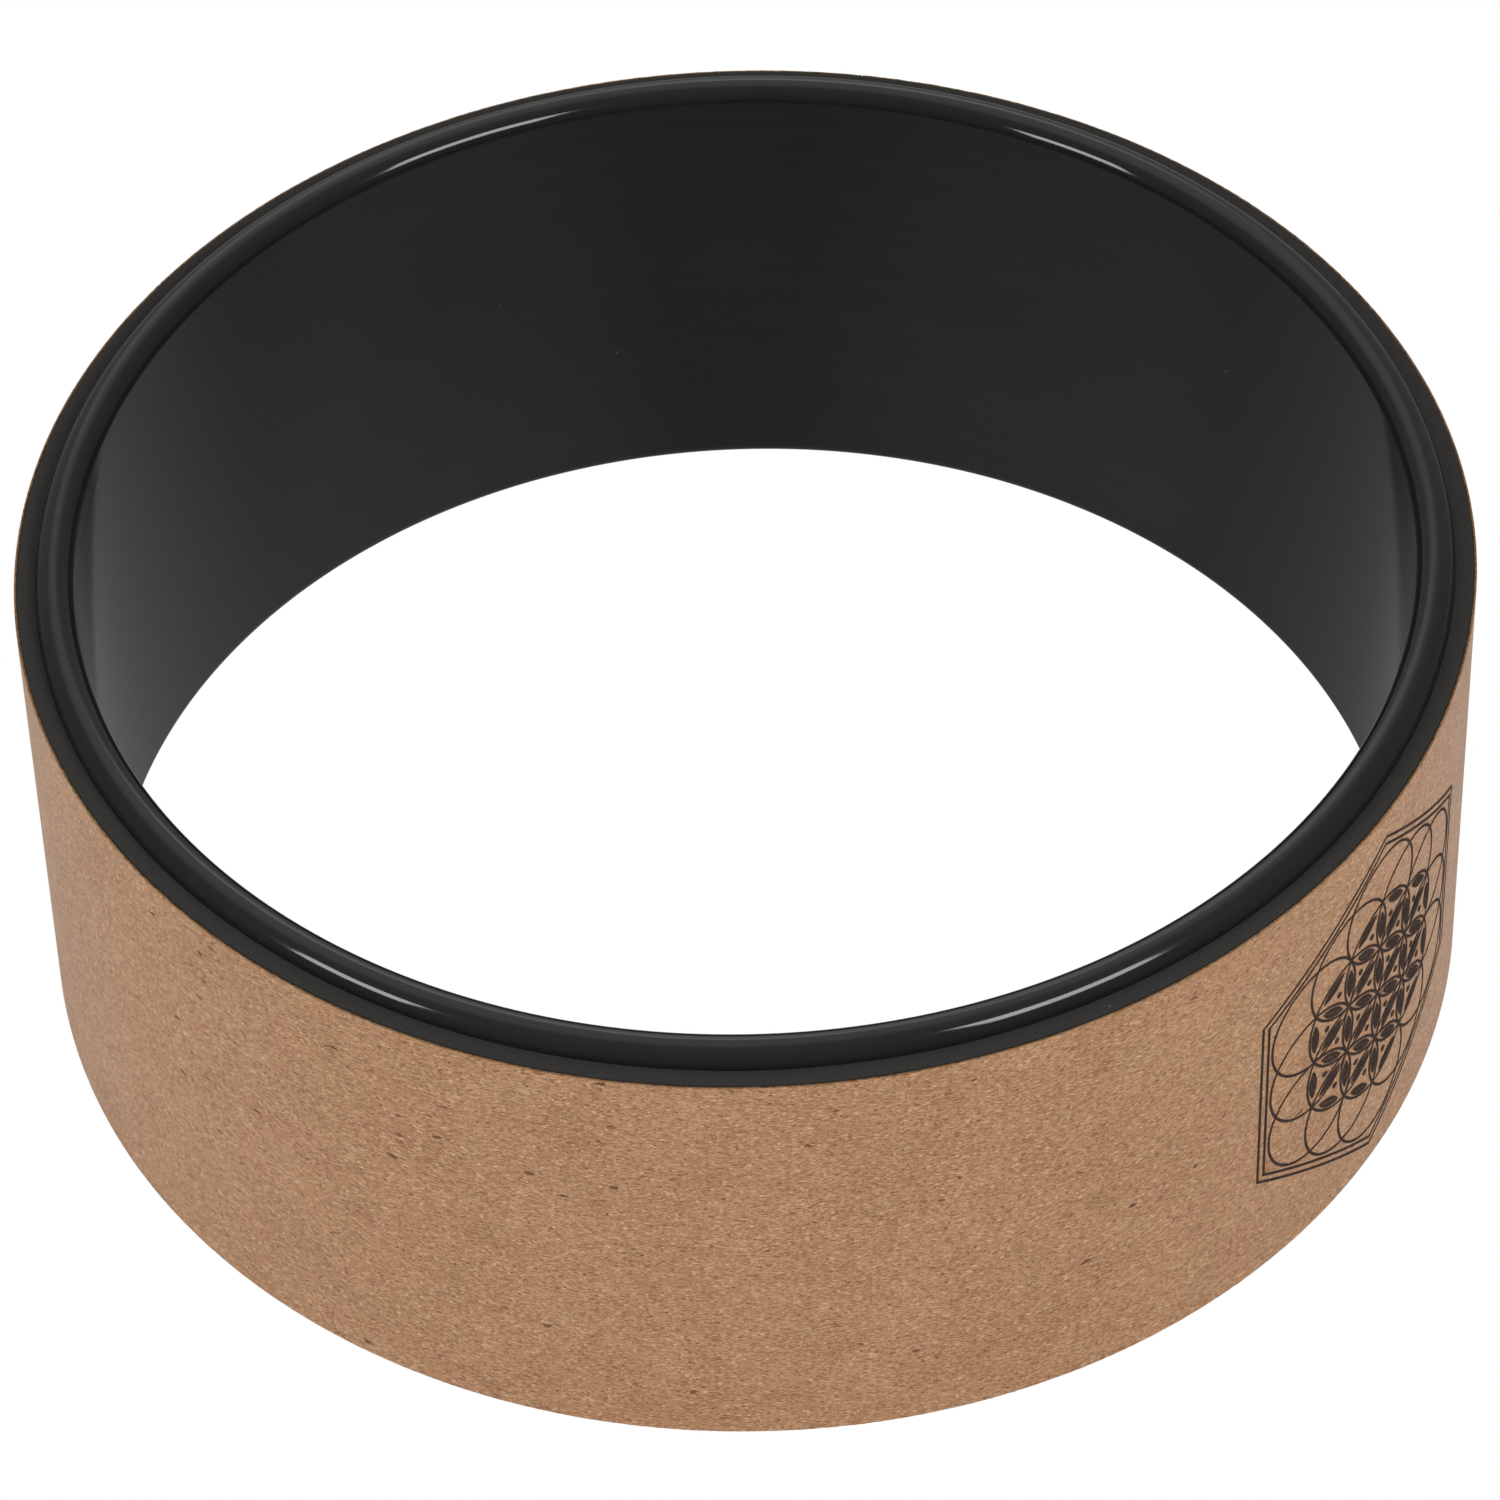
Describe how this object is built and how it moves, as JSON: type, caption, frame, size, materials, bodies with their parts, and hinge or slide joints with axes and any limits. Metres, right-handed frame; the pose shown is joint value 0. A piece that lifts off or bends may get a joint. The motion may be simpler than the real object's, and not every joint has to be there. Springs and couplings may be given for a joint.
{
  "type": "yoga wheel",
  "caption": "Wide round hoop with smooth rounded rims, wrapped in a foam pad and a thin cork cover, for rolling and back stretches.",
  "frame": {"origin": "centre of the wheel at the level of the lower rim, which it lies on", "axes": "+Z along the wheel's axis, up from the lower rim; -Y is the side nearest to the viewer in the picture; the strip's seam is at the back, towards +X"},
  "size_m": [0.33, 0.33, 0.12],
  "materials": {
    "hoop_plastic": "satin-gloss black ABS, moulded and buffed",
    "foam": "matt charcoal closed-cell foam with a cut edge",
    "cork": "fine agglomerated cork, sanded, matt",
    "adhesive": "clear amber contact adhesive film"
  },
  "bodies": {
    "root": {"hoop": "hoop_plastic", "pad_adhesive": "adhesive", "foam_pad": "foam", "cork_adhesive": "adhesive", "cork_cover": "cork"}
  },
  "joints": []
}
